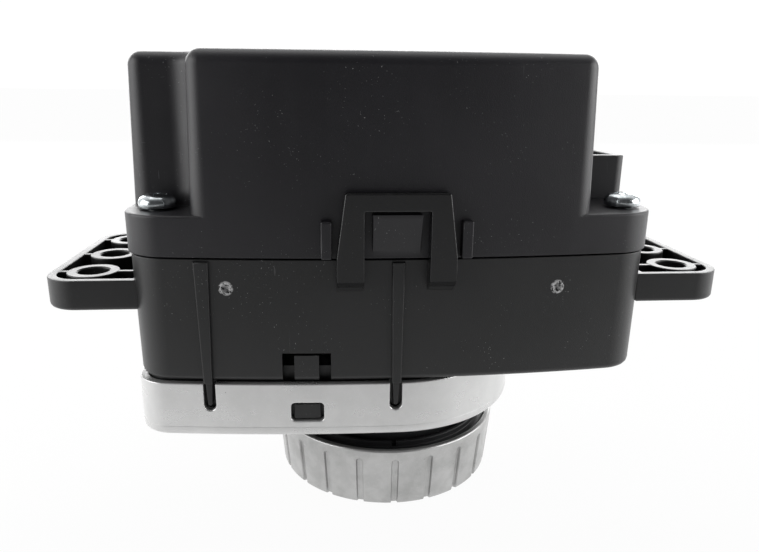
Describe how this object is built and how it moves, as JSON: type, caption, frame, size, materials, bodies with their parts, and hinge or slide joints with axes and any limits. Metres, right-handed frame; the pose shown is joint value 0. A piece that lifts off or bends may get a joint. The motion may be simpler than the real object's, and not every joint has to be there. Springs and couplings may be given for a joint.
{
  "type": "rotary battery selector switch",
  "caption": "Panel-mounted rotary selector switch with a fluted silver knob, silver bezel with push button, black housing with fixing ears, latched rear cover and plug socket.",
  "frame": {"origin": "centre of the knob's face, on the knob's axis; the switch stands on this face", "axes": "+Z along the knob's axis from the knob's face to the rear cover; +X along the body's length towards the plug socket, with the push button at -X; +Y across the body"},
  "size_m": [0.1366, 0.0632, 0.0919],
  "materials": {
    "housing": "satin black moulded plastic",
    "rear_cover": "satin black moulded plastic",
    "cover_screw": "bright zinc plate",
    "bezel": "satin silver",
    "front_panel": "gloss black",
    "button_cap": "satin black",
    "button_spring": "drawn wire",
    "button_switch": "grey plastic",
    "button_board": "green solder resist",
    "status_led": "clear resin",
    "status_lens": "milky translucent",
    "knob_ring": "satin silver",
    "knob_core": "satin black",
    "knob_face": "gloss black",
    "spindle": "turned",
    "spindle_bush": "natural acetal",
    "retaining_clip": "spring steel",
    "detent_wheel": "natural acetal",
    "detent_ball": "polished",
    "detent_spring": "drawn wire",
    "drive_gear": "natural acetal",
    "sensor_gear": "natural acetal",
    "sensor_pin": "ground",
    "sensor_magnet": "sintered magnet",
    "position_sensor": "moulded package",
    "circuit_board": "green solder resist",
    "board_screw": "zinc plate",
    "relay": "blue plastic case",
    "capacitor": "sleeved can",
    "controller_chip": "moulded package",
    "socket_header": "black plastic",
    "socket_pin": "tin-gold plate"
  },
  "bodies": {
    "body": {"housing": "housing", "rear_cover": "rear_cover", "bezel": "bezel", "front_panel": "front_panel", "button_spring": "button_spring", "button_switch": "button_switch", "button_board": "button_board", "status_led": "status_led", "status_lens": "status_lens", "spindle_bush": "spindle_bush", "detent_ball": "detent_ball", "detent_spring": "detent_spring", "sensor_pin": "sensor_pin", "position_sensor": "position_sensor", "circuit_board": "circuit_board", "relay": "relay", "controller_chip": "controller_chip", "socket_header": "socket_header", "cover_screw_1": "cover_screw", "cover_screw_2": "cover_screw", "cover_screw_3": "cover_screw", "cover_screw_4": "cover_screw", "board_screw_1": "board_screw", "board_screw_2": "board_screw", "board_screw_3": "board_screw", "board_screw_4": "board_screw", "capacitor_1": "capacitor", "capacitor_2": "capacitor", "socket_pin_1": "socket_pin", "socket_pin_2": "socket_pin", "socket_pin_3": "socket_pin", "socket_pin_4": "socket_pin", "socket_pin_5": "socket_pin", "socket_pin_6": "socket_pin", "socket_pin_7": "socket_pin", "socket_pin_8": "socket_pin", "socket_pin_9": "socket_pin", "socket_pin_10": "socket_pin"},
    "knob": {"knob_ring": "knob_ring", "knob_core": "knob_core", "knob_face": "knob_face", "spindle": "spindle", "retaining_clip": "retaining_clip", "detent_wheel": "detent_wheel", "drive_gear": "drive_gear"},
    "sensor": {"sensor_gear": "sensor_gear", "sensor_magnet": "sensor_magnet"},
    "button": {"button_cap": "button_cap"}
  },
  "joints": [
    {"name": "knob_turn", "type": "hinge", "parent": "body", "child": "knob", "pos_m": [0, 0, 0], "axis": [0, 0, 1], "range_deg": [0, 135]},
    {"name": "sensor_gear_spin", "type": "hinge", "parent": "body", "child": "sensor", "pos_m": [0.0225, 0, 0], "axis": [0, 0, 1], "range_deg": [-270, 0]},
    {"name": "button_press", "type": "slide", "parent": "body", "child": "button", "axis": [0, 0, 1], "range_m": [0, 0.0012], "stiffness_N_per_m": 600, "springref_m": -0.001, "deforming": ["button_spring"]}
  ],
  "couplings": [
    {"joint": "sensor_gear_spin", "follows": "knob_turn", "ratio": -2}
  ]
}
